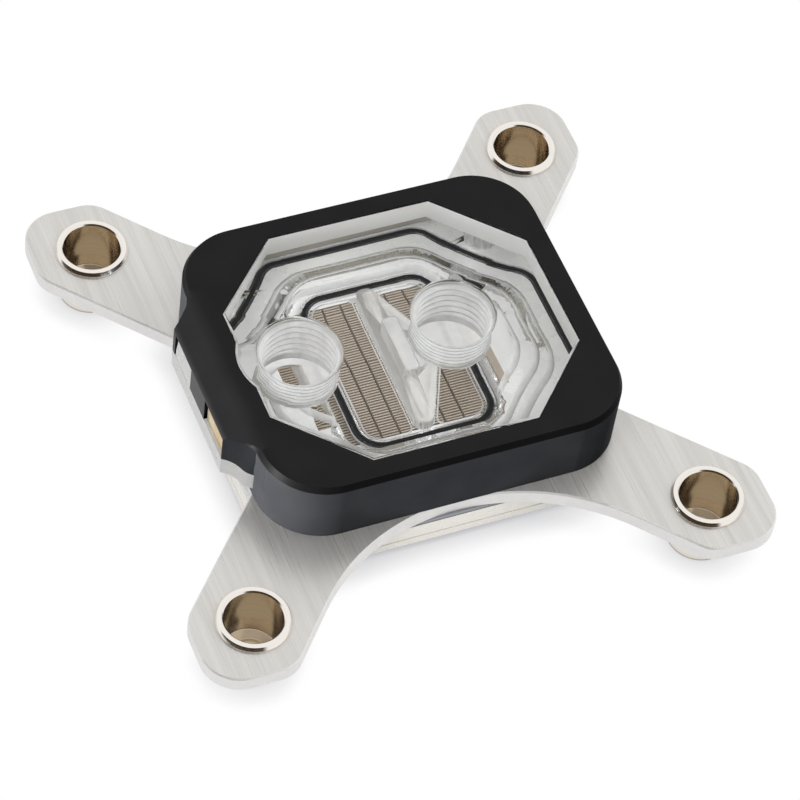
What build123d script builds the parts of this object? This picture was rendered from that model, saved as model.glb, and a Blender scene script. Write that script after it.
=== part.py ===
from build123d import *
from math import cos, radians, tan
import os

# Liquid cooling block for a processor. Millimetres, +Z up. The origin is on the surface that the four
# bushes stand on, midway between them. The left side, -X, carries the sloped hood.

# Heights of the stack
BUSH_DEPTH = 9.6
BRACKET_T = 2.6
FLANGE_T = 0.85
PLATE_T = 4.4
FRAME_H = 11.6
BODY_RISE = 4.0
PORT_DEPTH = 10.0

# Clearances, and how near a corner lies to the point that names it
FACE_GAP = 0.05
SIDE_GAP = 0.1
CORNER_REACH = 0.001

# Footprint of the plate, the cover's flange and the frame
BLOCK_X = 59.3
BLOCK_Y = 53.1
BLOCK_R = 10.3
WALL_X = 1.45
WALL_Y = 1.7
BODY_R = 6.0
FRAME_BEVEL_IN = 0.55
FRAME_BEVEL_DOWN = 1.05

# Eight-sided window: two corners of one quadrant, and the round bulge about the left port
WINDOW_X1 = 13.6
WINDOW_Y1 = 22.9
WINDOW_X2 = 25.75
WINDOW_Y2 = 10.6
BULGE_R = 10.0
BOSS_BEVEL = 0.35

# Threaded ports
PORT_R = 6.6
PORT_BEVEL = 0.3
RIGHT_PORT_X = 8.67
LEFT_PORT_X = -16.9
OUTLET_R = 5.4
INLET_R = 2.4
INLET_X = 4.9

# Cross-shaped bracket: its rails and necks are walls of this width round the cover's body
HOLE_PITCH = 75.0
RAIL_WALL = 1.1
RAIL_CORNER = 14.9
ARM_END = 47.1
ARM_SHOULDER = 34.4
NECK_WALL = 1.35
NECK_R = 34.5
NECK_ANGLE = 48.2
RAIL_R = 1.5
SHOULDER_R = 5.0
CORNER_R = 6.0
BRACKET_BEVEL = 0.25

# Flanged bushes
BUSH_R = 5.05
BUSH_BORE_R = 4.55
BUSH_FLANGE_R = 5.85
BUSH_FLANGE_T = 0.9
BUSH_FLOOR_T = 0.8
BUSH_HOLE_R = 2.7
BUSH_BEVEL = 0.2

# Outer seal: half lengths of its straight sides, and how far it bows in round each screw
OUTER_SEAL_X = 27.2
OUTER_SEAL_Y = 24.05
OUTER_SEAL_FLAT_X = 13.3
OUTER_SEAL_FLAT_Y = 10.15
OUTER_SEAL_BOW = 0.95
SEAL_CORNER_R = 4.0
SEAL_W = 1.4
SEAL_BEVEL = 0.35
GROOVE_DEPTH = 1.0

# Inner seal
INNER_SEAL_X = 11.15
INNER_SEAL_Y = 15.0

# Fin field, its narrower tongue under the left port, and the cuts across the fins
FIELD_LEFT = 13.0
FIELD_RIGHT = 13.0
FIELD_Y = 13.4
TONGUE_X = 16.25
TONGUE_Y = 8.6
FIN_PITCH = 0.5
FIN_T = 0.25
FIN_H = 3.0
CROSS_CUTS = (-7.5, -4.45, 3.05, 6.15)
CROSS_CUT_W = 0.35

# Shadow line round the plate's side
LINE_DROP = 2.75
LINE_H = 0.3
LINE_DEPTH = 0.4

# Stepped chamber in the cover's underside: inset from the outer seal and height of each step, and how
# round its corners are
STEP_INSETS = (3.0, 5.2, 8.0)
STEP_HEIGHTS = (1.6, 3.2, 4.5)
STEP_CORNER_R = 8.0
STEP_BEVEL = 0.9
CHAMBER_LEFT = 14.1
CHAMBER_RIGHT = 12.3
CHAMBER_Y = 16.3
CHAMBER_R = 5.0

# Nozzle over the fins
NOZZLE_LEFT = 2.0
NOZZLE_TIP = 0.6
NOZZLE_APEX = 6.95
NOZZLE_Y = 13.7
NOZZLE_H = 3.0
NOZZLE_R = 1.2
NOZZLE_WALL = 0.9
NOZZLE_FLOOR = 0.8
JET_W = 0.9
JET_Y = 12.0

# Riser: the rounded hollow over the nozzle's tray, beside the right port
RISER_W = 2.7
RISER_HALF = 5.6
RISER_H = 4.8
RISER_R = 1.0
RISER_BEVEL = 0.4

# Shallow recesses over the fins: the rims that they leave beside the inner seal and the nozzle
RECESS_RIM = 0.4
RECESS_DEPTH = 0.35
RECESS_R = 1.2
RECESS_BEVEL = 0.25

# Screws that clamp the stack from below
SCREW_X = 22.1
SCREW_Y = 19.3
SCREW_R = 2.0
SCREW_L = 16.0
SCREW_HEAD_R = 3.9
SCREW_HEAD_H = 2.3
SOCKET_R = 1.25
SOCKET_DEPTH = 1.5
HEAD_INSET = 0.2
COVER_HOLE_R = 2.6
TAPPED_DEPTH = 5.2

# Hood on the left side, seen from above: a straight outer wall and a curved end each way, S-shaped at the
# foot and run smoothly into the frame's side at the top. Each end has a bend, given by its depth from the
# frame's side and its run along Y from the straight wall, then the run of its root, and the angle from X
# at which it leaves the straight wall. The root at the top stops short of the frame's round corner. The
# crease is given by its distance in from the frame's side.
HOOD_DEPTH = 3.7
HOOD_SHORT = 0.25
HOOD_FOOT_END = (1.45, 2.6, 4.4)
HOOD_FOOT_ANGLE = 29.0
HOOD_TOP_END = (0.9, 2.75, 4.9)
HOOD_TOP_ANGLE = 42.0
HOOD_CREASE_IN = 1.45
HOOD_EDGE_Z = 9.8
HOOD_LOW = 4.7
HOOD_WALL = 0.6
HOOD_LIP = 0.5
LUG_HALF = 3.1
NOTCH_FAR_SHORT = 0.9
NOTCH_NEAR_SHORT = 0.2

# Light guide, strip and chips under the hood
GUIDE_BEVEL = 1.4
WINDOW_BAND = (0.5, 3.5)
WINDOW_HALF = 9.0
STRIP_T = 0.3
STRIP_H = 5.3
STRIP_SHORT = 0.5
STRIP_SEAT = 1.1
BLOCK_FRONT = 0.05
BLOCK_SHOULDER = 1.6
BLOCK_SHORT = 0.5
BLOCK_TOP_T = 0.2
CHIP = 3.4
CHIP_T = 1.4
CHIP_RISE = 0.4
CHIP_LENS_R = 1.3
CHIP_LENS_DEPTH = 0.3
CHIP_PLACES = ("first", "second", "third", "fourth")

# Levels, upwards
BRACKET_TOP = BUSH_DEPTH
BRACKET_LOW = BRACKET_TOP - BRACKET_T
FLANGE_TOP = BRACKET_LOW - FACE_GAP
FLANGE_LOW = FLANGE_TOP - FLANGE_T
PLATE_TOP = FLANGE_LOW - FACE_GAP
PLATE_LOW = PLATE_TOP - PLATE_T
FRAME_TOP = BRACKET_TOP + FRAME_H
BODY_TOP = BRACKET_TOP + BODY_RISE
POCKET_TOP = BODY_TOP + SIDE_GAP
PORT_LOW = FRAME_TOP - PORT_DEPTH
NOZZLE_LOW = PLATE_TOP + FACE_GAP
NOZZLE_TOP = NOZZLE_LOW + NOZZLE_H
GUIDE_TOP = BRACKET_TOP + HOOD_LOW
HOOD_ROOF = BRACKET_TOP + HOOD_EDGE_Z - HOOD_LIP

# Reach of the hood, and what follows from its outer wall and from its root
HOOD_REACH = BLOCK_X / 2 + HOOD_DEPTH
HOOD_ROOT = BLOCK_Y / 2 - BLOCK_R - HOOD_SHORT
HOOD_FLAT = HOOD_ROOT - HOOD_TOP_END[2]
NOTCH_FAR = HOOD_FLAT - NOTCH_FAR_SHORT
NOTCH_NEAR = HOOD_FLAT - NOTCH_NEAR_SHORT
BLOCK_FAR = NOTCH_FAR - BLOCK_SHORT
STRIP_HALF = HOOD_FLAT - STRIP_SHORT
CHIP_PITCH = 2 * STRIP_HALF / len(CHIP_PLACES)

# Half sizes that follow from the footprint
POCKET_X = BLOCK_X / 2 - WALL_X
POCKET_Y = BLOCK_Y / 2 - WALL_Y
BODY_X = POCKET_X - SIDE_GAP
BODY_Y = POCKET_Y - SIDE_GAP
RAIL_HALF = POCKET_X + RAIL_WALL
NECK_HALF = POCKET_Y + NECK_WALL

QUADRANTS = ((-1, 1, "rear_left"), (1, 1, "rear_right"), (-1, -1, "front_left"), (1, -1, "front_right"))


def prism(face, low, high):
    """The flat outline raised from one level to another."""
    return extrude(Pos(0, 0, low) * face, amount=high - low, dir=(0, 0, 1))


def slab(x0, x1, y0, y1, z0, z1):
    """A box between two corners."""
    return Pos((x0 + x1) / 2, (y0 + y1) / 2, (z0 + z1) / 2) * Box(x1 - x0, y1 - y0, z1 - z0)


def drum(x, y, radius, low, high):
    """An upright cylinder."""
    return Pos(x, y, (low + high) / 2) * Cylinder(radius, high - low)


def round_corners(face, points, radius):
    """The outline with the corners at these points rounded."""
    near = [v for v in face.vertices() if any(abs(v.X - x) + abs(v.Y - y) < CORNER_REACH for x, y in points)]
    return fillet(near, radius)


def four_ways(x, y):
    """A point and its mirror images."""
    return [(x, y), (-x, y), (x, -y), (-x, -y)]


def block_outline():
    return RectangleRounded(BLOCK_X, BLOCK_Y, BLOCK_R)


def body_outline(half_x, half_y):
    return RectangleRounded(2 * half_x, 2 * half_y, BODY_R)


def window_outline(gap=0.0):
    """Octagon with the round bulge about the left port, drawn in by a gap."""
    octagon = Polygon(
        (WINDOW_X1, WINDOW_Y1), (-WINDOW_X1, WINDOW_Y1), (-WINDOW_X2, WINDOW_Y2), (-WINDOW_X2, -WINDOW_Y2),
        (-WINDOW_X1, -WINDOW_Y1), (WINDOW_X1, -WINDOW_Y1), (WINDOW_X2, -WINDOW_Y2), (WINDOW_X2, WINDOW_Y2),
        align=None)
    bulge = Pos(LEFT_PORT_X, 0) * Circle(BULGE_R)
    outline = octagon + bulge
    return offset(outline, -gap, kind=Kind.INTERSECTION) if gap else outline


def bracket_outline():
    """Cross with cut corners, drawn in to the block's width between its arms."""
    angle = radians(NECK_ANGLE)
    valley = NECK_HALF + NECK_R * (1 - 1 / cos(angle))
    shoulder = (ARM_END - valley) / tan(angle)
    quadrant = [(RAIL_HALF, RAIL_CORNER), (ARM_END, ARM_SHOULDER), (ARM_END, ARM_END), (shoulder, ARM_END)]
    upper = quadrant + [(0, valley)] + [(-x, y) for x, y in reversed(quadrant)]
    lower = [(-x, -y) for x, y in upper]
    face = Polygon(*upper, *lower, align=None)
    face = round_corners(face, [(0, valley), (0, -valley)], NECK_R)
    face = round_corners(face, four_ways(RAIL_HALF, RAIL_CORNER), RAIL_R)
    face = round_corners(face, four_ways(ARM_END, ARM_SHOULDER) + four_ways(shoulder, ARM_END), SHOULDER_R)
    return round_corners(face, four_ways(ARM_END, ARM_END), CORNER_R)


def outer_seal_path():
    """The area inside the outer seal's middle line, bowed in round the four screws."""
    x, y = OUTER_SEAL_X, OUTER_SEAL_Y
    fx, fy = OUTER_SEAL_FLAT_X, OUTER_SEAL_FLAT_Y
    chord = Vector(x - fx, fy - y)
    inward = Vector(-(y - fy), -(x - fx)).normalized() * OUTER_SEAL_BOW
    bow = Vector(fx, y) + chord * 0.5 + inward
    corners = four_ways(fx, y) + four_ways(x, fy)
    lines = [Line((-fx, y), (fx, y)), Line((-fx, -y), (fx, -y))]
    lines += [Line((x, -fy), (x, fy)), Line((-x, -fy), (-x, fy))]
    for sx, sy in four_ways(1, 1):
        lines.append(ThreePointArc((sx * fx, sy * y), (sx * bow.X, sy * bow.Y), (sx * x, sy * fy)))
    return round_corners(make_face(Curve() + lines), corners, SEAL_CORNER_R)


def inner_seal_path():
    return RectangleRounded(2 * INNER_SEAL_X, 2 * INNER_SEAL_Y, SEAL_CORNER_R)


def band(path, width):
    """A band of this width along the edge of an area."""
    return offset(path, width / 2) - offset(path, -width / 2)


def nozzle_outline(gap=0.0):
    """Wedge with a straight left wall and a blunt point under the right port, grown by a gap."""
    points = [(-NOZZLE_LEFT, NOZZLE_Y), (-NOZZLE_LEFT, -NOZZLE_Y), (NOZZLE_TIP, -NOZZLE_Y),
              (NOZZLE_APEX, 0), (NOZZLE_TIP, NOZZLE_Y)]
    wedge = Polygon(*points, align=None)
    wedge = round_corners(wedge, points, NOZZLE_R)
    return offset(wedge, gap) if gap else wedge


def hood_outline(end, angle):
    """The hood from above, from the frame's side out to its outer wall, with the curve of its ends."""
    depth, run, root_run = end
    root = BLOCK_X / 2
    foot = HOOD_FLAT + root_run
    edges = [Line((-HOOD_REACH, HOOD_FLAT), (-HOOD_REACH, -HOOD_FLAT)), Line((-root, foot), (-root, -foot))]
    for side in (1, -1):
        bend = (-root - depth, side * (HOOD_FLAT + run))
        leave = Vector(1, 0).rotate(Axis.Z, side * angle)
        outer = TangentArc((-HOOD_REACH, side * HOOD_FLAT), bend, tangent=leave)
        edges += [outer, TangentArc(bend, (-root, side * foot), tangent=outer % 1)]
    return make_face(Curve() + edges)


def hood():
    """The hood before its top is sloped: its ends change from the foot's curve to the top's."""
    foot = Pos(0, 0, GUIDE_TOP) * hood_outline(HOOD_FOOT_END, HOOD_FOOT_ANGLE)
    top = Pos(0, 0, FRAME_TOP) * hood_outline(HOOD_TOP_END, HOOD_TOP_ANGLE)
    return loft([foot, top], ruled=True)


def top_frame():
    """Black frame: rounded block with a pocket below, the window through it, and the hood on its left."""
    frame = prism(block_outline(), BRACKET_TOP, FRAME_TOP) + hood()
    top = frame.faces().sort_by(Axis.Z)[-1]
    frame = chamfer(top.edges(), FRAME_BEVEL_IN, FRAME_BEVEL_DOWN, reference=top)
    foot = hood_outline(HOOD_FOOT_END, HOOD_FOOT_ANGLE)
    inside = offset(foot, -HOOD_WALL, kind=Kind.INTERSECTION)
    frame -= prism(inside, GUIDE_TOP, HOOD_ROOF)
    outer = -HOOD_REACH
    frame -= slab(outer, outer + HOOD_WALL, LUG_HALF, NOTCH_FAR, GUIDE_TOP, HOOD_ROOF)
    frame -= slab(outer, outer + HOOD_WALL, -NOTCH_NEAR, -LUG_HALF, GUIDE_TOP, HOOD_ROOF)
    crease = -BLOCK_X / 2 + HOOD_CREASE_IN
    wedge = Polygon((crease, FRAME_TOP), (outer, BRACKET_TOP + HOOD_EDGE_Z), (outer, FRAME_TOP), align=None)
    frame -= extrude(Plane.XZ * wedge, amount=HOOD_ROOT, both=True)
    frame -= prism(body_outline(POCKET_X, POCKET_Y), BRACKET_TOP, POCKET_TOP)
    frame -= prism(window_outline(), POCKET_TOP, FRAME_TOP)
    frame -= slab(-BLOCK_X / 2, -POCKET_X, -WINDOW_HALF, WINDOW_HALF,
                  BRACKET_TOP + WINDOW_BAND[0], BRACKET_TOP + WINDOW_BAND[1])
    for x, y in four_ways(SCREW_X, SCREW_Y):
        frame -= drum(x, y, SCREW_R + FACE_GAP, POCKET_TOP, POCKET_TOP + TAPPED_DEPTH)
    return frame


def step_outline(path, inset):
    """The area inside the seal's path drawn in by an inset, with wide round corners."""
    return offset(offset(path, -inset - STEP_CORNER_R), STEP_CORNER_R)


def chamber():
    """The stepped hollow in the cover's underside, with bevelled steps."""
    path = outer_seal_path()
    hollow = None
    low = FLANGE_LOW
    for inset, height in zip(STEP_INSETS, STEP_HEIGHTS):
        step = prism(step_outline(path, inset), low, FLANGE_LOW + height)
        step = chamfer(step.faces().sort_by(Axis.Z)[-1].edges(), STEP_BEVEL)
        hollow = step if hollow is None else hollow + step
    middle = (CHAMBER_RIGHT - CHAMBER_LEFT) / 2
    island = Pos(middle, 0) * RectangleRounded(CHAMBER_LEFT + CHAMBER_RIGHT, 2 * CHAMBER_Y, CHAMBER_R)
    return hollow - prism(island, FLANGE_LOW, FRAME_TOP)


def riser():
    """The hollow over the nozzle's tray, flush with the tray's left side."""
    middle = -NOZZLE_LEFT + NOZZLE_WALL + RISER_W / 2
    outline = Pos(middle, 0) * RectangleRounded(RISER_W, 2 * RISER_HALF, RISER_R)
    hollow = prism(outline, NOZZLE_TOP, NOZZLE_TOP + RISER_H)
    return chamfer(hollow.faces().sort_by(Axis.Z)[-1].edges(), RISER_BEVEL)


def recesses():
    """The two shallow recesses over the fins, one each side of the nozzle, with round corners."""
    inside = offset(inner_seal_path(), -(SEAL_W + SIDE_GAP) / 2 - RECESS_RIM)
    fields = inside - nozzle_outline(FACE_GAP + RECESS_RIM)
    rounded = Sketch() + [offset(offset(field, -RECESS_R), RECESS_R) for field in fields.faces()]
    hollows = prism(rounded, FLANGE_LOW, FLANGE_LOW + RECESS_DEPTH)
    tops = hollows.faces().filter_by(Axis.Z).group_by(Axis.Z)[-1]
    return chamfer(tops.edges(), RECESS_BEVEL)


def clear_cover():
    """Clear cover: flange, body, eight-sided boss, two ports and the hollows of its underside."""
    cover = prism(block_outline(), FLANGE_LOW, FLANGE_TOP)
    cover += prism(body_outline(BODY_X, BODY_Y), FLANGE_LOW, BODY_TOP)
    boss = prism(window_outline(SIDE_GAP), BODY_TOP, FRAME_TOP)
    cover += chamfer(boss.faces().sort_by(Axis.Z)[-1].edges(), BOSS_BEVEL)
    for x in (LEFT_PORT_X, RIGHT_PORT_X):
        cover -= drum(x, 0, PORT_R, PORT_LOW, FRAME_TOP)
        mouth = Cone(PORT_R, PORT_R + PORT_BEVEL, PORT_BEVEL)
        cover -= Pos(x, 0, FRAME_TOP - PORT_BEVEL / 2) * mouth
    outlet = drum(LEFT_PORT_X, 0, OUTLET_R, FLANGE_LOW, PORT_LOW)
    outlet -= slab(-CHAMBER_LEFT, 0, -PORT_R, PORT_R, FLANGE_LOW, PORT_LOW)
    cover -= chamber() + outlet
    cover -= recesses()
    cover -= riser()
    cover -= prism(nozzle_outline(FACE_GAP), FLANGE_LOW, NOZZLE_TOP + FACE_GAP)
    cover -= drum(INLET_X, 0, INLET_R, NOZZLE_TOP, PORT_LOW)
    cover -= prism(band(inner_seal_path(), SEAL_W + SIDE_GAP), FLANGE_LOW, FLANGE_LOW + GROOVE_DEPTH)
    for x, y in four_ways(SCREW_X, SCREW_Y):
        cover -= drum(x, y, COVER_HOLE_R, FLANGE_LOW, BODY_TOP)
    return cover


def flow_nozzle():
    """Wedge-shaped nozzle: a tray open to the port above, with a long jet slot through its floor."""
    nozzle = prism(nozzle_outline(), NOZZLE_LOW, NOZZLE_TOP)
    tray = offset(nozzle_outline(), -NOZZLE_WALL)
    nozzle -= prism(tray, NOZZLE_LOW + NOZZLE_FLOOR, NOZZLE_TOP)
    jet = -NOZZLE_LEFT + NOZZLE_WALL
    return nozzle - slab(jet, jet + JET_W, -JET_Y, JET_Y, NOZZLE_LOW, NOZZLE_LOW + NOZZLE_FLOOR)


def fin_field():
    """The area that the fins stand in, a rectangle with a tongue to the left."""
    field = Pos((FIELD_RIGHT - FIELD_LEFT) / 2, 0) * Rectangle(FIELD_LEFT + FIELD_RIGHT, 2 * FIELD_Y)
    return field + Pos(-TONGUE_X / 2, 0) * Rectangle(TONGUE_X, 2 * TONGUE_Y)


def fins():
    """Thin fins along X over the whole field, parted by the cross cuts."""
    rows = GridLocations(0, FIN_PITCH, 1, int(2 * FIELD_Y / FIN_PITCH))
    rails = Sketch() + [row * Rectangle(2 * (TONGUE_X + FIELD_RIGHT), FIN_T) for row in rows]
    cuts = [Pos(x, 0) * Rectangle(CROSS_CUT_W, 2 * FIELD_Y) for x in CROSS_CUTS]
    return (rails & fin_field()) - cuts


def cold_plate():
    """Plated copper plate with its field of thin fins, the outer seal's groove and the screws' holes."""
    floor = PLATE_TOP - FIN_H
    plate = prism(block_outline(), PLATE_LOW, floor)
    plate += prism(block_outline() - fin_field(), floor, PLATE_TOP)
    plate += prism(fins(), floor, PLATE_TOP)
    line = PLATE_TOP - LINE_DROP
    plate -= prism(block_outline() - offset(block_outline(), -LINE_DEPTH), line - LINE_H, line)
    plate -= prism(band(outer_seal_path(), SEAL_W + SIDE_GAP), PLATE_TOP - GROOVE_DEPTH, PLATE_TOP)
    for x, y in four_ways(SCREW_X, SCREW_Y):
        plate -= drum(x, y, SCREW_R + FACE_GAP, PLATE_LOW, PLATE_TOP)
        plate -= screw_head(x, y, FACE_GAP)
        plate -= drum(x, y, SCREW_HEAD_R + FACE_GAP, PLATE_LOW, PLATE_LOW + HEAD_INSET)
    return plate


def screw_head(x, y, gap=0.0):
    """The cone of one screw's head, grown by a gap."""
    low = PLATE_LOW + HEAD_INSET
    return Pos(x, y, low + SCREW_HEAD_H / 2) * Cone(SCREW_HEAD_R + gap, SCREW_R + gap, SCREW_HEAD_H)


def frame_screw(x, y):
    """Countersunk screw with a hexagon socket, from below into the frame."""
    low = PLATE_LOW + HEAD_INSET
    shank = drum(x, y, SCREW_R, low + SCREW_HEAD_H, low + SCREW_L)
    socket = Pos(x, y, low) * extrude(RegularPolygon(SOCKET_R, 6, major_radius=False), SOCKET_DEPTH)
    return screw_head(x, y) + shank - socket


def seal(path, low, high):
    """Rubber ring, bevelled at its top, pressed between its groove and the face over it."""
    ring = prism(band(path, SEAL_W), low, high)
    return chamfer(ring.faces().sort_by(Axis.Z)[-1].edges(), SEAL_BEVEL)


def mounting_bracket():
    """Flat steel cross, open in the middle for the cover's body, with a hole in each arm."""
    bracket = prism(bracket_outline(), BRACKET_LOW, BRACKET_TOP)
    bracket = chamfer(bracket.faces().sort_by(Axis.Z)[-1].edges(), BRACKET_BEVEL)
    bracket -= prism(body_outline(POCKET_X, POCKET_Y), BRACKET_LOW, BRACKET_TOP)
    for x, y in four_ways(HOLE_PITCH / 2, HOLE_PITCH / 2):
        bracket -= drum(x, y, BUSH_R + FACE_GAP, BRACKET_LOW, BRACKET_TOP)
    return bracket


def bush(x, y):
    """Deep flanged bush: the flange lies on the bracket, and the floor has a smaller hole."""
    flange_top = BRACKET_TOP + BUSH_FLANGE_T
    profile = Polygon(
        (BUSH_HOLE_R, 0), (BUSH_R, 0), (BUSH_R, BRACKET_TOP), (BUSH_FLANGE_R, BRACKET_TOP),
        (BUSH_FLANGE_R, flange_top - BUSH_BEVEL),
        (BUSH_FLANGE_R - BUSH_BEVEL, flange_top), (BUSH_BORE_R + BUSH_BEVEL, flange_top),
        (BUSH_BORE_R, flange_top - BUSH_BEVEL), (BUSH_BORE_R, BUSH_FLOOR_T), (BUSH_HOLE_R, BUSH_FLOOR_T),
        align=None)
    return Pos(x, y, 0) * revolve(Plane.XZ * profile, Axis.Z)


def strip_face():
    """The strip's outer face, just behind the hood's outer wall."""
    return -HOOD_REACH + HOOD_WALL + FACE_GAP


def light_guide():
    """Clear guide under the hood: seat of the strip, a block in the far notch, a tongue into the frame."""
    guide = prism(hood_outline(HOOD_FOOT_END, HOOD_FOOT_ANGLE), BRACKET_TOP, GUIDE_TOP)
    root = -BLOCK_X / 2
    low_edges = [e for e in guide.faces().sort_by(Axis.Z)[0].edges() if e.center().X < root - FACE_GAP]
    guide = chamfer(low_edges, GUIDE_BEVEL)
    low, high = (BRACKET_TOP + level for level in WINDOW_BAND)
    half = WINDOW_HALF - SIDE_GAP
    guide += slab(root, -POCKET_X, -half, half, low + SIDE_GAP, high - SIDE_GAP)
    face = strip_face()
    seat = GUIDE_TOP - STRIP_SEAT
    slot = STRIP_HALF + SIDE_GAP
    guide -= slab(face - FACE_GAP, face + STRIP_T + FACE_GAP, -slot, slot, seat, GUIDE_TOP)
    front = -HOOD_REACH + BLOCK_FRONT
    back = -HOOD_REACH + HOOD_WALL
    top = HOOD_ROOF - SIDE_GAP
    shoulder = GUIDE_TOP + BLOCK_SHOULDER
    corners = [(front, seat), (front, shoulder), (back - BLOCK_TOP_T, top), (back, top), (back, seat)]
    block = Polygon(*corners, align=None)
    middle = (LUG_HALF + SIDE_GAP + BLOCK_FAR) / 2
    width = BLOCK_FAR - LUG_HALF - SIDE_GAP
    return guide + Pos(0, middle, 0) * extrude(Plane.XZ * block, amount=width / 2, both=True)


def light_strip():
    """Flexible strip on edge in the guide's slot."""
    face = strip_face()
    seat = GUIDE_TOP - STRIP_SEAT
    return slab(face, face + STRIP_T, -STRIP_HALF, STRIP_HALF, seat, seat + STRIP_H)


def light_chip(y):
    """Square chip on the strip's inner face, with a round recess."""
    face = strip_face() + STRIP_T
    low = GUIDE_TOP + CHIP_RISE
    chip = slab(face, face + CHIP_T, y - CHIP / 2, y + CHIP / 2, low, low + CHIP)
    lens = Pos(face + CHIP_T, y, low + CHIP / 2) * Rot(0, 90, 0) * Cylinder(CHIP_LENS_R, 2 * CHIP_LENS_DEPTH)
    return chip - lens


def pieces():
    """Every separate piece by its name."""
    made = {
        "top_frame": top_frame(),
        "clear_cover": clear_cover(),
        "flow_nozzle": flow_nozzle(),
        "cold_plate": cold_plate(),
        "outer_seal": seal(outer_seal_path(), PLATE_TOP - GROOVE_DEPTH, FLANGE_LOW),
        "inner_seal": seal(inner_seal_path(), PLATE_TOP, FLANGE_LOW + GROOVE_DEPTH),
        "mounting_bracket": mounting_bracket(),
        "light_guide": light_guide(),
        "light_strip": light_strip(),
    }
    for x, y, corner in QUADRANTS:
        made[corner + "_bush"] = bush(x * HOLE_PITCH / 2, y * HOLE_PITCH / 2)
        made[corner + "_screw"] = frame_screw(x * SCREW_X, y * SCREW_Y)
    middle = (len(CHIP_PLACES) - 1) / 2
    for index, place in enumerate(CHIP_PLACES):
        made["light_chip_" + place] = light_chip((middle - index) * CHIP_PITCH)
    return made


os.makedirs("parts", exist_ok=True)
for name, solid in pieces().items():
    export_step(solid, "parts/" + name + ".step")
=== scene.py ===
# Looks of the liquid cooling block. Metres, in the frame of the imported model: +Z up out of the ports, the
# sloped hood on -X, and the origin on the surface that the four bushes stand on.
import math

import bmesh
import bpy
from mathutils import Matrix, Vector

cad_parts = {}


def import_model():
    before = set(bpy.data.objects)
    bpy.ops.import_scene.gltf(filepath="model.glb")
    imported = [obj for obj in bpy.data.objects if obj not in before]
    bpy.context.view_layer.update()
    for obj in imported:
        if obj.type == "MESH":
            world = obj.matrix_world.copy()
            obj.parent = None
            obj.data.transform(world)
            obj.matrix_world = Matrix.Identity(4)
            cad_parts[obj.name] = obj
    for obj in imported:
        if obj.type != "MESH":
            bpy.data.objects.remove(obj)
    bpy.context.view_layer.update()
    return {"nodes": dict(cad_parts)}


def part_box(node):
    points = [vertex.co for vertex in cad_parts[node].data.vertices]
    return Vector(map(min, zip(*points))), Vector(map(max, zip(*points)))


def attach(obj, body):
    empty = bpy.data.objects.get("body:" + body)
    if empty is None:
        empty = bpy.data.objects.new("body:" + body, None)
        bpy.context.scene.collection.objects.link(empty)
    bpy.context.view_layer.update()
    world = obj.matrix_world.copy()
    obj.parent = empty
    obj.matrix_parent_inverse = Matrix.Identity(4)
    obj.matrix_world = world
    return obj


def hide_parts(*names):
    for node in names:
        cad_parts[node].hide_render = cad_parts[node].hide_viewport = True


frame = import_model()
nodes = frame["nodes"]
MM = 0.001

# Camera, as fitted to the photograph, and the nearest and furthest that it shows
CAMERA_PLACE = (-169.437 * MM, -310.946 * MM, 452.117 * MM)
CAMERA_AZIMUTH = 28.833
CAMERA_ELEVATION = 51.757
CAMERA_ROLL = -9.128
SENSOR = 36.0
LENS = 162.18
CAMERA_CLIP = (0.01, 20.0)

# Levels, read from the frame apart from the rise of the cover's body, and how far each bush stands from
# the middle along X and along Y
BODY_RISE = 4.0 * MM
FRAME_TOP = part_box("top_frame")[1].z
FRAME_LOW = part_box("top_frame")[0].z
BODY_TOP = FRAME_LOW + BODY_RISE
PLATE_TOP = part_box("cold_plate")[1].z
BUSH_PLACE = 37.5 * MM

# Light: the world's strength as a light and as it is reflected or seen through glass. Then the dark zone
# that only reflections show, on the photographer's side: its direction in degrees from -Y towards -X, the
# cosines of its soft sides, the sines of its soft top and its colour.
WORLD_LIGHT = 0.62
WORLD_SEEN = 0.96
DARK_AZIMUTH = 49.0
DARK_SIDES = (0.42, 0.57)
DARK_TOP = (0.84, 0.9)
DARK_COLOUR = (0.045, 0.028, 0.013)

# Lamps: place, size and power. The low one shines level, at a point over the middle.
LEFT_BOX = ((-0.53, -0.29, 0.78), 0.4, 3.2)
RIGHT_BOX = ((0.72, -0.1, 0.6), 0.5, 2.8)
LOW_BOX = ((-0.49, -0.06, 0.008), 0.03, 15.0)
LOW_TARGET = (0.0, 0.0, 0.008)

# Floor: half its side, how far it lies below the bushes, the reach of the shadow painted on it, and the
# shade painted on it as seen through a bush
FLOOR_HALF = 3.0
FLOOR_DROP = 0.02 * MM
SHADOW_REACH = 7.5 * MM
BUSH_HOLE_SHADE = (0.4, 0.334, 0.239)

# Clear plastic: its faint tint and how much it bends light. Then the tint that dims mirrored light.
CLEAR_TINT = (0.995, 1.0, 1.0)
ACRYLIC_IOR = 1.49
DIM_MIRROR = (0.3, 0.3, 0.3, 1.0)

# Fins' field and its tongue as half sizes, painted darker for shade, and the width of the plate's cream rim
FIELD_HALF = (13.05 * MM, 13.45 * MM)
TONGUE_HALF = (16.3 * MM, 8.65 * MM)
PLATE_RIM = 0.3 * MM

# Limits on the upward part of a face's normal: least for a level face, most for an upright one, least for
# a bevel, and most for a face that looks sideways or down
LEVEL = 0.9
UPRIGHT = 0.3
BEVEL = 0.2
NOT_UPWARD = 0.1

# How near a face of the frame lies to the hood's outer wall to count as that wall, and how far in from
# there the hood reaches
HOOD_SKIN = 0.05 * MM
HOOD_DEPTH = 3.55 * MM

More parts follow.
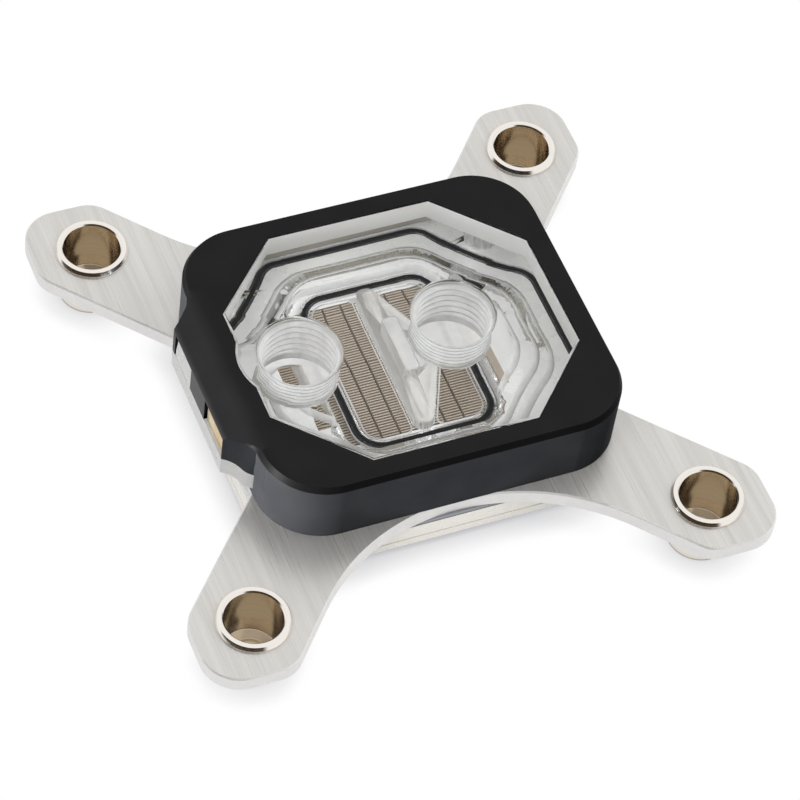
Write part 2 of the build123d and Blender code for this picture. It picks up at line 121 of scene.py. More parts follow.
# Bushes: sizes, the bevel round the flange inwards and downwards, the bevel at the mouth, how near a face
# lies to the bore to count as its wall, and how round each kind of corner is
BUSH_R = 5.05 * MM
BUSH_BORE_R = 4.55 * MM
BUSH_HOLE_R = 2.7 * MM
BUSH_FLOOR_T = 0.8 * MM
BUSH_FLANGE_T = 0.9 * MM
BUSH_EDGE = (0.34 * MM, 0.55 * MM)
BUSH_MOUTH = 0.22 * MM
BORE_REACH = 0.01 * MM
HOLE_ROUND = 0.1 * MM
FOOT_ROUND = 0.3 * MM
NECK_ROUND = 0.04 * MM
RIM_ROUND = 0.06 * MM
MOUTH_ROUND = 0.03 * MM
BORE_FLOOR_ROUND = 0.12 * MM

# Steps round a turned piece or a thread, and round a corner of a turned outline
TURN_STEPS = 96
CORNER_STEPS = 5

# Hollows of the cover, each as two corners in millimetres: the riser over the nozzle, and the pocket that
# the nozzle sits in
RISER_BOX = ((-1.2, -5.7, 9.2), (1.7, 5.7, 14.0))
POCKET_BOX = ((-2.15, -13.9, 6.6), (7.15, 13.9, 9.2))

# Limits that sort the cover's faces by finish: the screws' holes and the reach round each, the flange's
# height and the height of the shade painted at its foot, both over the plate, where its sides start, and a
# level over the stepped chamber
SCREW_PLACE = (22.1 * MM, 19.3 * MM)
SCREW_HOLE_R = 2.8 * MM
FLANGE_STEP = 1.0 * MM
FLANGE_SHADE_HEIGHT = 0.2 * MM
SIDE_X = 26.9 * MM
SIDE_Y = 23.6 * MM
STEPS_TOP = 14.0 * MM

# Ports: places, size, and how near a face lies to a port's wall or floor to belong to it
PORT_PLACES = (-16.9 * MM, 8.67 * MM)
PORT_R = 6.6 * MM
PORT_DEPTH = 10.0 * MM
PORT_REACH = 0.35 * MM
PORT_FLOOR_REACH = 0.1 * MM

# Threads: pitch and radii, how steep their sides are, how far the sleeve sinks into the wall, the run in
# which the thread grows, its start below the mouth, its length, the sleeve's gap over the floor, and rows
THREAD_PITCH = 1.337 * MM
THREAD_MINOR_R = 5.75 * MM
THREAD_MAJOR_R = 6.5 * MM
THREAD_SLOPE = 1.5
THREAD_SINK = 0.12 * MM
THREAD_LEAD = 0.7 * MM
THREAD_TOP = 0.35 * MM
THREAD_LENGTH = 8.6 * MM
THREAD_LOW_GAP = 0.05 * MM
THREAD_ROWS = 90


class Shader:
    """A new material, with short ways to add and link its nodes."""

    def __init__(self, name):
        self.material = bpy.data.materials.new(name)
        self.material.use_nodes = True
        self.tree = self.material.node_tree
        self.tree.nodes.clear()
        self.out = self.add("ShaderNodeOutputMaterial")
        self.place = self.add("ShaderNodeTexCoord").outputs["Object"]

    def put(self, socket, value):
        if isinstance(value, bpy.types.NodeSocket):
            self.tree.links.new(value, socket)
        else:
            socket.default_value = value

    def add(self, kind, inputs=None, **settings):
        node = self.tree.nodes.new(kind)
        for key, value in settings.items():
            setattr(node, key, value)
        for key, value in (inputs or {}).items():
            self.put(node.inputs[key], value)
        return node

    def math(self, operation, first, second=0.0):
        return self.add("ShaderNodeMath", {0: first, 1: second}, operation=operation).outputs[0]

    def axes(self):
        """The place on the object along X, Y and Z."""
        return self.add("ShaderNodeSeparateXYZ", {0: self.place}).outputs

    def bush_reach(self, axes):
        """The square of the distance from the nearest bush's axis."""
        reach = [self.math("SUBTRACT", self.math("ABSOLUTE", axes[i]), BUSH_PLACE) for i in (0, 1)]
        squares = [self.math("MULTIPLY", r, r) for r in reach]
        return self.math("ADD", squares[0], squares[1])

    def stretched(self, scale, rotation=(0, 0, 0)):
        """The place on the object, scaled and turned."""
        inputs = {"Vector": self.place, "Scale": scale, "Rotation": rotation}
        return self.add("ShaderNodeMapping", inputs).outputs[0]

    def noise(self, scale, detail=2.0, vector=None):
        inputs = {"Vector": vector or self.place, "Scale": scale, "Detail": detail}
        return self.add("ShaderNodeTexNoise", inputs).outputs["Fac"]

    def span(self, value, low, high, start=0.3, end=0.7):
        """The value's range from start to end spread from low to high."""
        inputs = {"Value": value, "From Min": start, "From Max": end, "To Min": low, "To Max": high}
        return self.add("ShaderNodeMapRange", inputs).outputs[0]

    def blend(self, factor, first, second):
        """Two colours, mixed by a factor."""
        node = self.add("ShaderNodeMix", data_type="RGBA")
        self.put(node.inputs["Factor"], factor)
        self.put(node.inputs["A"], first if isinstance(first, bpy.types.NodeSocket) else (*first, 1.0))
        self.put(node.inputs["B"], second if isinstance(second, bpy.types.NodeSocket) else (*second, 1.0))
        return node.outputs["Result"]

    def shade(self, value, dark, light):
        """A colour between two, as a noise goes from low to high."""
        return self.blend(self.span(value, 0.0, 1.0), dark, light)

    def bump(self, height, depth, strength):
        inputs = {"Height": height, "Distance": depth, "Strength": strength}
        return self.add("ShaderNodeBump", inputs).outputs[0]

    def surface(self, **sockets):
        """The main shader; a socket's name is written in small letters with low lines for spaces."""
        node = self.add("ShaderNodeBsdfPrincipled")
        known = {s.name.lower().replace(" ", "_"): s for s in node.inputs}
        for key, value in sockets.items():
            if key == "base_color" and not isinstance(value, bpy.types.NodeSocket):
                value = (*value, 1.0)
            self.put(known[key], value)
        self.put(self.out.inputs["Surface"], node.outputs[0])
        return self.material

    def lit_through(self):
        """Lets lamps and soft light straight through the glass, so that what lies behind it is lit."""
        path = self.add("ShaderNodeLightPath")
        share = self.math("MAXIMUM", path.outputs["Is Shadow Ray"], path.outputs["Is Diffuse Ray"])
        clear = self.add("ShaderNodeBsdfTransparent", {"Color": (*CLEAR_TINT, 1.0)})
        glass = self.out.inputs["Surface"].links[0].from_socket
        mix = self.add("ShaderNodeMixShader", {0: share, 1: glass, 2: clear.outputs[0]})
        self.put(self.out.inputs["Surface"], mix.outputs[0])
        return self.material

    def inside(self, half_x, half_y):
        """One within a rectangle about the middle, seen from above, and nothing outside it."""
        axes = self.axes()
        near = [self.math("LESS_THAN", self.math("ABSOLUTE", axes[i]), half)
                for i, half in ((0, half_x), (1, half_y))]
        return self.math("MULTIPLY", near[0], near[1])


def black_grain(s, dark, light, smooth):
    """The colour, roughness and bump that the frame's finishes share."""
    grain = s.noise(5200.0, 3.0)
    colour = s.shade(s.noise(160.0, 2.0), dark, light)
    return colour, s.span(grain, smooth, smooth + 0.1), s.bump(grain, 0.006 * MM, 0.5)


def satin_black(name, dark, light, shine, smooth):
    """Fine satin black of the frame, with its colours, its shine and its roughness."""
    s = Shader(name)
    colour, rough, grain = black_grain(s, dark, light, smooth)
    return s.surface(base_color=colour, roughness=rough, specular_ior_level=shine, normal=grain)


def plated_black(name, dark, light, smooth):
    """Black plated metal of the frame's sides: a soft gloss that doesn't brighten at a glance."""
    s = Shader(name)
    colour, rough, grain = black_grain(s, dark, light, smooth)
    return s.surface(base_color=colour, metallic=0.5, roughness=rough, specular_tint=DIM_MIRROR,
                     specular_ior_level=0.0, normal=grain)


def cut_steel():
    """The bracket's cut edges: paler and plainer than its brushed face."""
    s = Shader("cut steel")
    cloud = s.noise(420.0, 3.0)
    colour = s.shade(cloud, (0.74, 0.73, 0.72), (0.82, 0.81, 0.8))
    return s.surface(base_color=colour, metallic=0.5, roughness=s.span(cloud, 0.45, 0.6))


def brushed_steel():
    """Steel brushed along Y, with a few longer scratches."""
    s = Shader("brushed steel")
    fine = s.noise(1.0, 3.0, s.stretched((5200.0, 60.0, 5200.0), (0, 0, math.radians(3))))
    broad = s.noise(1.0, 2.0, s.stretched((900.0, 24.0, 900.0), (0, 0, math.radians(3))))
    cloud = s.noise(70.0, 2.0)
    tone = s.math("ADD", s.math("MULTIPLY", fine, 0.5), s.math("MULTIPLY", broad, 0.5))
    colour = s.shade(tone, (0.57, 0.553, 0.527), (0.77, 0.753, 0.722))
    colour = s.blend(s.span(cloud, 0.0, 0.25), colour, (0.69, 0.67, 0.635))
    return s.surface(base_color=colour, metallic=0.65, roughness=s.span(fine, 0.26, 0.42),
                     normal=s.bump(tone, 0.01 * MM, 0.35))


def turned_nickel(name, dark, light, smooth):
    """Warm bright nickel with fine turned rings about each bush's axis."""
    s = Shader(name)
    axes = s.axes()
    radius = s.math("SQRT", s.bush_reach(axes))
    rings = s.add("ShaderNodeCombineXYZ", {0: radius, 1: 0.0, 2: axes[2]}).outputs[0]
    lines = s.noise(4200.0, 2.0, rings)
    colour = s.shade(lines, dark, light)
    return s.surface(base_color=colour, metallic=1.0, roughness=s.span(lines, smooth, smooth + 0.1),
                     normal=s.bump(lines, 0.003 * MM, 0.2))


def plated_copper():
    """Bright plating on milled copper; the finned field is painted darker as shade in its grooves and warmer
    as the metal is, and the rim is cream.
    """
    s = Shader("plated copper")
    cloud = s.noise(240.0, 2.0)
    colour = s.shade(cloud, (0.95, 0.945, 0.935), (0.99, 0.985, 0.975))
    fin_field_shade = s.math("MAXIMUM", s.inside(*FIELD_HALF), s.inside(*TONGUE_HALF))
    plate_half = [reach - PLATE_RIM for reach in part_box("cold_plate")[1][:2]]
    # Painted shade in the grooves: the finned field darker, and warmer as the metal is.
    colour = s.blend(fin_field_shade, colour, (0.5, 0.42, 0.34))
    colour = s.blend(s.inside(*plate_half), (0.88, 0.85, 0.79), colour)
    return s.surface(base_color=colour, metallic=0.08, roughness=s.span(cloud, 0.24, 0.34))


def zinc():
    """Dull bright plating of the screws."""
    s = Shader("zinc plating")
    cloud = s.noise(1800.0, 3.0)
    colour = s.shade(cloud, (0.5, 0.5, 0.5), (0.62, 0.62, 0.62))
    return s.surface(base_color=colour, metallic=1.0, roughness=s.span(cloud, 0.24, 0.4))


def black_rubber():
    s = Shader("black rubber")
    grain = s.noise(3800.0, 3.0)
    colour = s.shade(grain, (0.008, 0.008, 0.009), (0.016, 0.016, 0.018))
    return s.surface(base_color=colour, roughness=s.span(grain, 0.32, 0.5),
                     normal=s.bump(grain, 0.004 * MM, 0.4))


def clear_acrylic():
    """Polished clear plastic, with the faintest waves of its milling."""
    s = Shader("clear acrylic")
    waves = s.noise(300.0, 1.0)
    s.surface(base_color=CLEAR_TINT, transmission_weight=1.0, ior=ACRYLIC_IOR, roughness=0.0,
              specular_tint=DIM_MIRROR, normal=s.bump(waves, 0.004 * MM, 0.15))
    return s.lit_through()


def milled_acrylic(name, dark, light):
    """The cover's side walls as the cutter left them, matt, in shades between two colours, or painted darker
    as shade.
    """
    s = Shader(name)
    cloud = s.noise(190.0, 3.0)
    colour = s.shade(cloud, dark, light)
    return s.surface(base_color=colour, ior=ACRYLIC_IOR, roughness=s.span(cloud, 0.4, 0.55))


def flange_acrylic():
    """The cover's thin flange: polished, with a painted reflection of the dark frame and seal on it in
    stripes, and painted shade at its foot.
    """
    s = Shader("flange acrylic")
    # Painted reflection of the dark frame and seal: dark and pale stripes along X.
    painted_reflection = s.noise(1.0, 2.0, s.stretched((25.0, 2600.0, 2600.0)))
    height = s.axes()[2]
    colour = s.blend(s.span(painted_reflection, 0.0, 1.0, 0.35, 0.65), (0.05, 0.054, 0.062), (0.4, 0.41, 0.44))
    # Painted shade: near black at the flange's foot.
    painted_foot_shade = s.math("LESS_THAN", height, PLATE_TOP + FLANGE_SHADE_HEIGHT)
    colour = s.blend(painted_foot_shade, colour, (0.012, 0.011, 0.012))
    return s.surface(base_color=colour, ior=ACRYLIC_IOR, roughness=0.16)


def frosted_acrylic(name, clearness, dark=(0.86, 0.86, 0.855), light=(0.94, 0.938, 0.93), ior=ACRYLIC_IOR):
    """Plastic left white and frosted by the cutter. The less it bends light, the less it mirrors."""
    s = Shader(name)
    cloud = s.noise(700.0, 3.0)
    colour = s.shade(cloud, dark, light)
    s.surface(base_color=colour, transmission_weight=clearness, ior=ior, roughness=s.span(cloud, 0.3, 0.45))
    return s.lit_through()


def frosted_guide():
    """The light guide: clear plastic with a soft haze."""
    s = Shader("frosted guide")
    cloud = s.noise(260.0, 2.0)
    colour = s.shade(cloud, (0.8, 0.8, 0.785), (0.88, 0.88, 0.87))
    return s.surface(base_color=colour, transmission_weight=0.35, ior=ACRYLIC_IOR,
                     roughness=s.span(cloud, 0.25, 0.4))


def strip_film():
    """Cream film with gold pads and brown dots."""
    s = Shader("strip film")
    spots = s.add("ShaderNodeTexVoronoi", {"Vector": s.place, "Scale": 900.0}).outputs["Distance"]
    cloud = s.noise(300.0, 2.0)
    colour = s.shade(cloud, (0.72, 0.5, 0.24), (0.86, 0.76, 0.55))
    colour = s.blend(s.span(spots, 1.0, 0.0, 0.12, 0.2), colour, (0.3, 0.17, 0.07))
    return s.surface(base_color=colour, roughness=0.4)


def chip_white():
    s = Shader("chip white")
    cloud = s.noise(900.0, 2.0)
    colour = s.shade(cloud, (0.78, 0.77, 0.72), (0.86, 0.85, 0.8))
    return s.surface(base_color=colour, roughness=s.span(cloud, 0.3, 0.42))


def make_object(name, mesh):
    piece = bpy.data.objects.new(name, mesh)
    bpy.context.scene.collection.objects.link(piece)
    return piece


def closed_piece(name, bm, material):
    """A new object from built faces, with their normals outwards."""
    bmesh.ops.recalc_face_normals(bm, faces=bm.faces)
    mesh = bpy.data.meshes.new(name)
    bm.to_mesh(mesh)
    bm.free()
    mesh.materials.append(material)
    return make_object(name, mesh)


def thread_radius(turn, height):
    """Radius of the thread's wall at this share of a turn and this depth below the mouth."""
    phase = (height / THREAD_PITCH - turn) % 1.0
    rise = 1.0 - abs(2.0 * phase - 1.0)
    rise = min(1.0, max(0.0, rise * THREAD_SLOPE - (THREAD_SLOPE - 1.0) / 2))
    rise = rise * rise * (3.0 - 2.0 * rise)
    fade = min(1.0, (THREAD_LENGTH - height) / THREAD_PITCH, height / THREAD_LEAD)
    return THREAD_MAJOR_R - (THREAD_MAJOR_R - THREAD_MINOR_R) * rise * max(0.0, fade)


def thread_sleeve(name, x, material):
    """A closed ring sunk into the port's wall, with the thread on its inside."""
    low = FRAME_TOP - PORT_DEPTH + THREAD_LOW_GAP
    high = FRAME_TOP - THREAD_TOP
    bm = bmesh.new()
    rings = []
    for row in range(THREAD_ROWS + 1):
        z = high + (low - high) * row / THREAD_ROWS
        ring = []
        for step in range(TURN_STEPS):
            angle = 2 * math.pi * step / TURN_STEPS
            r = thread_radius(step / TURN_STEPS, high - z)
            ring.append(bm.verts.new((x + r * math.cos(angle), r * math.sin(angle), z)))
        rings.append(ring)
    outer = PORT_R + THREAD_SINK
    for z in (low, high):
        angles = [2 * math.pi * step / TURN_STEPS for step in range(TURN_STEPS)]
        rings.append([bm.verts.new((x + outer * math.cos(a), outer * math.sin(a), z)) for a in angles])
    for first, second in zip(rings, rings[1:] + rings[:1]):
        for step in range(TURN_STEPS):
            after = (step + 1) % TURN_STEPS
            bm.faces.new((first[step], first[after], second[after], second[step]))
    return closed_piece(name, bm, material)


def welded_copy(name, node):
    """A copy of a node's mesh with its corners joined."""
    mesh = bpy.data.meshes.new(name)
    bm = bmesh.new()
    bm.from_mesh(nodes[node].data)
    bmesh.ops.remove_doubles(bm, verts=bm.verts, dist=0.0005 * MM)
    bmesh.ops.recalc_face_normals(bm, faces=bm.faces)
    bm.to_mesh(mesh)
    bm.free()
    return make_object(name, mesh)


def applied(piece):
    """Puts the result of the piece's modifiers into its mesh."""
    bpy.context.view_layer.update()
    made = bpy.data.meshes.new_from_object(piece.evaluated_get(bpy.context.evaluated_depsgraph_get()))
    piece.modifiers.clear()
    piece.data = made


def even_normals(piece, angle=50, seams=False):
    """Smooth up to an angle, with large faces kept flat, so that a narrow bevel between them looks round."""
    mesh = piece.data
    mesh.shade_smooth()
    mesh.set_sharp_from_angle(angle=math.radians(angle))
    if seams:
        finishes = {}
        for face in mesh.polygons:
            for key in face.edge_keys:
                finishes.setdefault(key, set()).add(face.material_index)
        for edge in mesh.edges:
            edge.use_edge_sharp = edge.use_edge_sharp or len(finishes[edge.key]) > 1
    even = piece.modifiers.new("even", "WEIGHTED_NORMAL")
    even.weight = 100
    even.keep_sharp = True
    applied(piece)


def within(place, box):
    """Whether a place lies in a box, given as two corners in millimetres."""
    low, high = box
    return all(low[i] * MM < place[i] < high[i] * MM for i in range(3))


def wholly_beyond(mesh, face, axis, limit):
    """Whether all of a face lies further out along X or Y than a limit."""
    return all(abs(mesh.vertices[index].co[axis]) > limit for index in face.vertices)


def cover_finish(mesh, face):
    """Which finish a face of the cover has."""
    centre = face.center
    upright = abs(face.normal.z) < UPRIGHT
    port = any(math.hypot(centre.x - x, centre.y) < PORT_R + PORT_REACH for x in PORT_PLACES)
    port_floor = FRAME_TOP - PORT_DEPTH
    flange_top = PLATE_TOP + FLANGE_STEP
    if port and upright and centre.z > port_floor + PORT_FLOOR_REACH:
        return "thread"
    if port and (abs(centre.z - port_floor) < PORT_FLOOR_REACH or upright and centre.z < port_floor):
        return "frosted"
    if within(centre, RISER_BOX) or within(centre, POCKET_BOX):
        return "hazy"
    if upright and centre.z > BODY_TOP and not port:
        return "milled"
    if upright and math.hypot(abs(centre.x) - SCREW_PLACE[0], abs(centre.y) - SCREW_PLACE[1]) < SCREW_HOLE_R:
        return "thread"
    # The body's walls beneath the frame get the painted shade.
    if upright and centre.z > flange_top and (abs(centre.x) > SIDE_X or abs(centre.y) > SIDE_Y):
        return "painted_shade"
    if centre.z < flange_top and wholly_beyond(mesh, face, 1, SIDE_Y):
        return "flange"
    if centre.z < flange_top and wholly_beyond(mesh, face, 0, SIDE_X):
        return "frosted"
    if -LEVEL < face.normal.z < NOT_UPWARD and centre.z < STEPS_TOP:
        return "contour"
    return "clear"


def dressed_cover():
    """The clear cover, with threads in its ports and each kind of face in its own finish."""
    finishes = {
        "clear": clear_acrylic(),
        "milled": milled_acrylic("milled acrylic", (0.95, 0.945, 0.93), (0.99, 0.985, 0.975)),
        # Painted shade: the body's walls beneath the frame are painted olive-dark.
        "painted_shade": milled_acrylic("shaded acrylic", (0.5, 0.47, 0.4), (0.6, 0.57, 0.5)),
        "thread": frosted_acrylic("thread acrylic", 0.5, (0.74, 0.745, 0.745), (0.86, 0.86, 0.855)),
        "frosted": frosted_acrylic("frosted acrylic", 0.35),
        "hazy": frosted_acrylic("hazy acrylic", 0.6),
        "contour": frosted_acrylic("contour acrylic", 0.3, (0.86, 0.865, 0.87), (0.97, 0.965, 0.95),
                                   ior=1.08),
        "flange": flange_acrylic(),
    }
    order = list(finishes)
    cover = welded_copy("port_cover", "clear_cover")
    for material in finishes.values():
        cover.data.materials.append(material)
    for index, x in enumerate(PORT_PLACES):
        sleeve = thread_sleeve("thread" + str(index), x, finishes["thread"])
        union = cover.modifiers.new("union", "BOOLEAN")
        union.operation = "UNION"
        union.solver = "EXACT"
        union.object = sleeve
        applied(cover)
        bpy.data.objects.remove(sleeve)
    mesh = cover.data
    for face in mesh.polygons:
        if order[face.material_index] != "thread":
            face.material_index = order.index(cover_finish(mesh, face))
    even_normals(cover)
    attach(cover, "root")
    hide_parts("clear_cover")


def dressed_frame():
    """The black frame, with finishes of their own for its top, sides, bevels and hood; the sides are painted
    lighter than the top, as painted light, and the hood's sides less so.
    """
    frame_copy = welded_copy("black_frame", "top_frame")
    mesh = frame_copy.data
    for material in (
            satin_black("satin black", (0.0065, 0.0065, 0.007), (0.0085, 0.0085, 0.009), 0.12, 0.42),
            # The sides' black is painted lighter than the top's: painted light on the sides.
            plated_black("side black painted lighter", (0.034, 0.0355, 0.039), (0.041, 0.0425, 0.046), 0.3),
            satin_black("edge black", (0.004, 0.004, 0.0042), (0.005, 0.005, 0.0052), 0.02, 0.4),
            # The hood's sides: a darker copy of the sides' black, as painted shade.
            plated_black("hood black painted darker", (0.011, 0.0115, 0.0125), (0.014, 0.0145, 0.016), 0.3)):
        mesh.materials.append(material)
    top, side, edge, painted_darker_hood_side = range(4)
    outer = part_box("top_frame")[0].x + HOOD_SKIN
    for face in mesh.polygons:
        if face.normal.z > LEVEL or face.center.x < outer:
            face.material_index = top
        elif face.normal.z > BEVEL:
            face.material_index = edge
        else:
            face.material_index = painted_darker_hood_side if face.center.x < outer + HOOD_DEPTH else side
    even_normals(frame_copy, 30, seams=True)
    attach(frame_copy, "root")
    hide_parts("top_frame")
    return frame_copy


def dressed_bracket():
    """The bracket, with its brushed face and its cut edges."""
    cross = welded_copy("steel_cross", "mounting_bracket")
    cross.data.materials.append(brushed_steel())
    cross.data.materials.append(cut_steel())
    for face in cross.data.polygons:
        face.material_index = 0 if abs(face.normal.z) > LEVEL else 1
    even_normals(cross, 30)
    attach(cross, "root")
    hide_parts("mounting_bracket")


def rounded_profile(corners):
    """An outline of (radius, height, rounding) corners with each corner rounded."""
    points = []
    for index, (r, z, rounding) in enumerate(corners):
        here = Vector((r, z))
        before = (Vector(corners[index - 1][:2]) - here).normalized()
        after = (Vector(corners[(index + 1) % len(corners)][:2]) - here).normalized()
        half = before.angle(after) / 2
        start = here + before * rounding / math.tan(half)
        middle = here + (before + after).normalized() * rounding / math.sin(half)
        first, last = start - middle, here + after * rounding / math.tan(half) - middle
        turn = first.angle_signed(last)
        for step in range(CORNER_STEPS + 1):
            points.append(middle + Matrix.Rotation(-turn * step / CORNER_STEPS, 2) @ first)
    return points


def turned(name, x, y, points, material):
    """A closed outline turned about the upright axis through a place."""
    bm = bmesh.new()
    rings = []
    for step in range(TURN_STEPS):
        angle = 2 * math.pi * step / TURN_STEPS
        places = [(x + p.x * math.cos(angle), y + p.x * math.sin(angle), p.y) for p in points]
        rings.append([bm.verts.new(place) for place in places])
    for first, second in zip(rings, rings[1:] + rings[:1]):
        for index in range(len(points)):
            after = (index + 1) % len(points)
            bm.faces.new((first[index], second[index], second[after], first[after]))
    return closed_piece(name, bm, material)


def turned_bushes():
    """The four bushes with their edges rounded as turning and plating leave them."""
    bright = turned_nickel("turned nickel", (0.86, 0.82, 0.76), (0.93, 0.89, 0.83), 0.1)
    # The bore's wall: a darker, browner copy of the nickel, as painted shade in the bore's depth.
    painted_bore_shade = turned_nickel("bore nickel painted darker", (0.66, 0.58, 0.47), (0.73, 0.65, 0.54), 0.12)
    for node in [n for n in nodes if n.endswith("_bush")]:
        low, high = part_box(node)
        x, y = (low.x + high.x) / 2, (low.y + high.y) / 2
        flange_r = (high.x - low.x) / 2
        flange_low = high.z - BUSH_FLANGE_T
        edge_r, edge_z = flange_r - BUSH_EDGE[0], high.z - BUSH_EDGE[1]
        mouth_r, mouth_z = BUSH_BORE_R + BUSH_MOUTH, high.z - BUSH_MOUTH
        floor_top = low.z + BUSH_FLOOR_T
        points = rounded_profile([
            (BUSH_HOLE_R, low.z, HOLE_ROUND), (BUSH_R, low.z, FOOT_ROUND), (BUSH_R, flange_low, NECK_ROUND),
            (flange_r, flange_low, NECK_ROUND), (flange_r, edge_z, RIM_ROUND), (edge_r, high.z, RIM_ROUND),
            (mouth_r, high.z, MOUTH_ROUND), (BUSH_BORE_R, mouth_z, MOUTH_ROUND),
            (BUSH_BORE_R, floor_top, BORE_FLOOR_ROUND), (BUSH_HOLE_R, floor_top, HOLE_ROUND)])
        piece = turned("turned_" + node, x, y, points, bright)
        piece.data.materials.append(painted_bore_shade)
        for face in piece.data.polygons:
            reach = math.hypot(face.center.x - x, face.center.y - y)
            face.material_index = 1 if reach < BUSH_BORE_R + BORE_REACH and face.center.z > low.z else 0
        even_normals(piece, 60)
        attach(piece, "root")
        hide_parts(node)


def dress_nodes():
    """Gives every node that stays its material."""
    screws = zinc()
    rubber, chip = black_rubber(), chip_white()
    finish = {
        "cold_plate": plated_copper(),
        "outer_seal": rubber,
        "inner_seal": rubber,
        "flow_nozzle": frosted_acrylic("nozzle acrylic", 0.45, (0.7, 0.675, 0.64), (0.82, 0.8, 0.77)),
        "light_guide": frosted_guide(),
        "light_strip": strip_film(),
    }
    for name, node in nodes.items():
        kind = name.rsplit("_", 1)[-1]
        if name in finish:
            material = finish[name]
        elif kind == "screw":
            material = screws
        elif name.startswith("light_chip"):
            material = chip
        else:
            continue
        node.data.materials.clear()
        node.data.materials.append(material)


def floor():
    """White floor that glows where seen or mirrored, with the object's shadow painted into the glow by
    ambient occlusion.
    """
    bm = bmesh.new()
    bmesh.ops.create_grid(bm, x_segments=2, y_segments=2, size=FLOOR_HALF)
    mesh = bpy.data.meshes.new("floor")
    bm.to_mesh(mesh)
    bm.free()
    plane = make_object("floor", mesh)
    plane.location.z = -FLOOR_DROP
    s = Shader("white floor")
    path = s.add("ShaderNodeLightPath")
    seen = s.math("MAXIMUM", path.outputs["Is Camera Ray"], path.outputs["Is Glossy Ray"])
    seen = s.math("MAXIMUM", seen, path.outputs["Is Transmission Ray"])
    # Painted shadow: the glow is darker where ambient occlusion finds the object near.
    shelter = s.add("ShaderNodeAmbientOcclusion", {"Distance": SHADOW_REACH}).outputs["AO"]
    strength = s.span(shelter, 0.0, 1.0, 0.25, 0.82)
    tint = s.blend(strength, (0.5, 0.5, 0.52), (1.0, 1.0, 1.0))
    # Painted shade: the floor seen through each bush's hole is dark tan.
    painted_shade_beneath_bush = s.math("LESS_THAN", s.bush_reach(s.axes()), BUSH_R * BUSH_R)
    tint = s.blend(painted_shade_beneath_bush, tint, BUSH_HOLE_SHADE)
    plain = s.add("ShaderNodeBsdfDiffuse", {"Color": (0.9, 0.9, 0.9, 1.0)})
    glow = s.add("ShaderNodeEmission", {"Color": tint, "Strength": 1.0})
    mix = s.add("ShaderNodeMixShader", {0: seen, 1: plain.outputs[0], 2: glow.outputs[0]})
    s.put(s.out.inputs["Surface"], mix.outputs[0])
    mesh.materials.append(s.material)


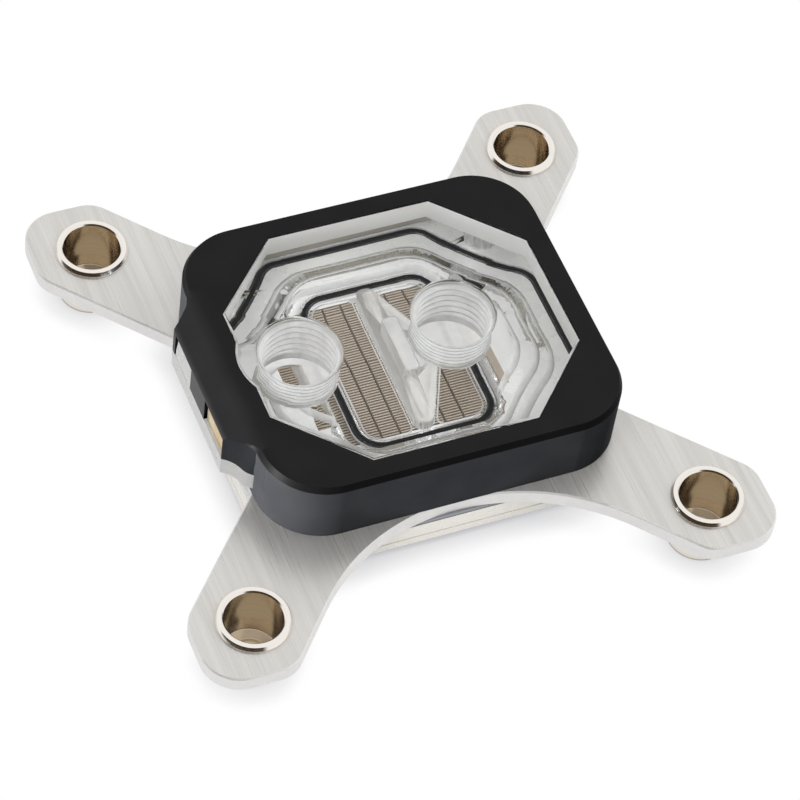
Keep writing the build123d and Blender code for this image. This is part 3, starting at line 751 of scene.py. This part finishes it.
def world():
    """Plain white surroundings. Reflections also show a dark zone, on the photographer's side."""
    made = bpy.data.worlds.new("studio")
    bpy.context.scene.world = made
    made.use_nodes = True
    tree = made.node_tree
    back = tree.nodes["Background"]

    def add(kind, inputs, **settings):
        node = tree.nodes.new(kind)
        for key, value in settings.items():
            setattr(node, key, value)
        for key, value in inputs.items():
            if isinstance(value, bpy.types.NodeSocket):
                tree.links.new(value, node.inputs[key])
            else:
                node.inputs[key].default_value = value
        return node.outputs[0]

    def math_of(operation, first, second=0.0):
        return add("ShaderNodeMath", {0: first, 1: second}, operation=operation)

    parts = tree.nodes.new("ShaderNodeSeparateXYZ")
    tree.links.new(add("ShaderNodeTexCoord", {}), parts.inputs[0])
    east, north, up = parts.outputs
    turn = math.radians(DARK_AZIMUTH)
    west_share = math_of("MULTIPLY", east, -math.sin(turn))
    along = math_of("ADD", west_share, math_of("MULTIPLY", north, -math.cos(turn)))
    squares = [math_of("MULTIPLY", axis, axis) for axis in (east, north)]
    level = math_of("SQRT", math_of("ADD", *squares))
    facing = math_of("DIVIDE", along, level)
    sides = add("ShaderNodeMapRange", {"Value": facing, "From Min": DARK_SIDES[0], "From Max": DARK_SIDES[1]})
    top = add("ShaderNodeMapRange", {"Value": up, "From Min": DARK_TOP[1], "From Max": DARK_TOP[0]})
    path = tree.nodes.new("ShaderNodeLightPath")
    glossy = path.outputs["Is Glossy Ray"]
    share = math_of("MULTIPLY", math_of("MULTIPLY", sides, top), glossy)
    mix = tree.nodes.new("ShaderNodeMix")
    mix.data_type = "RGBA"
    tree.links.new(share, mix.inputs["Factor"])
    mix.inputs["A"].default_value = (1.0, 1.0, 1.0, 1.0)
    mix.inputs["B"].default_value = (*DARK_COLOUR, 1.0)
    tree.links.new(mix.outputs["Result"], back.inputs["Color"])
    seen = math_of("MAXIMUM", glossy, path.outputs["Is Transmission Ray"])
    strength = math_of("ADD", math_of("MULTIPLY", seen, WORLD_SEEN - WORLD_LIGHT), WORLD_LIGHT)
    tree.links.new(strength, back.inputs["Strength"])


def area_lamp(name, place, size, power, target=(0.0, 0.0, 0.0), mirrored=False):
    """A square lamp aimed at a point. Unless mirrored, it shows in no reflection."""
    data = bpy.data.lights.new(name, "AREA")
    data.shape = "SQUARE"
    data.size = size
    data.energy = power
    lamp = bpy.data.objects.new(name, data)
    bpy.context.scene.collection.objects.link(lamp)
    lamp.location = place
    lamp.rotation_euler = (Vector(target) - Vector(place)).to_track_quat("-Z", "Y").to_euler()
    lamp.visible_glossy = mirrored
    return lamp


def corner_light(piece):
    """A low lamp at the left that shines on one piece alone, and grades its rounded near-left corner."""
    lamp = area_lamp("low box", *LOW_BOX, target=LOW_TARGET, mirrored=True)
    lit = bpy.data.collections.new("lit by the low box")
    lit.objects.link(piece)
    lamp.light_linking.receiver_collection = lit


def camera():
    """The camera, turned and rolled as it was for the photograph."""
    azimuth, elevation, roll = (math.radians(a) for a in (CAMERA_AZIMUTH, CAMERA_ELEVATION, CAMERA_ROLL))
    flat = math.cos(elevation)
    forward = Vector((math.sin(azimuth) * flat, math.cos(azimuth) * flat, -math.sin(elevation)))
    level = Vector((math.cos(azimuth), -math.sin(azimuth), 0.0))
    right = level * math.cos(roll) + forward.cross(level) * math.sin(roll)
    up = right.cross(forward)
    data = bpy.data.cameras.new("camera")
    data.sensor_width = SENSOR
    data.lens = LENS
    data.clip_start, data.clip_end = CAMERA_CLIP
    seen = bpy.data.objects.new("camera", data)
    bpy.context.scene.collection.objects.link(seen)
    seen.matrix_world = Matrix.Translation(CAMERA_PLACE) @ Matrix((right, up, -forward)).transposed().to_4x4()
    bpy.context.scene.camera = seen


camera()
world()
floor()
area_lamp("left box", *LEFT_BOX)
area_lamp("right box", *RIGHT_BOX)
dress_nodes()
corner_light(dressed_frame())
dressed_bracket()
turned_bushes()
dressed_cover()
bpy.context.scene.view_settings.view_transform = "Standard"
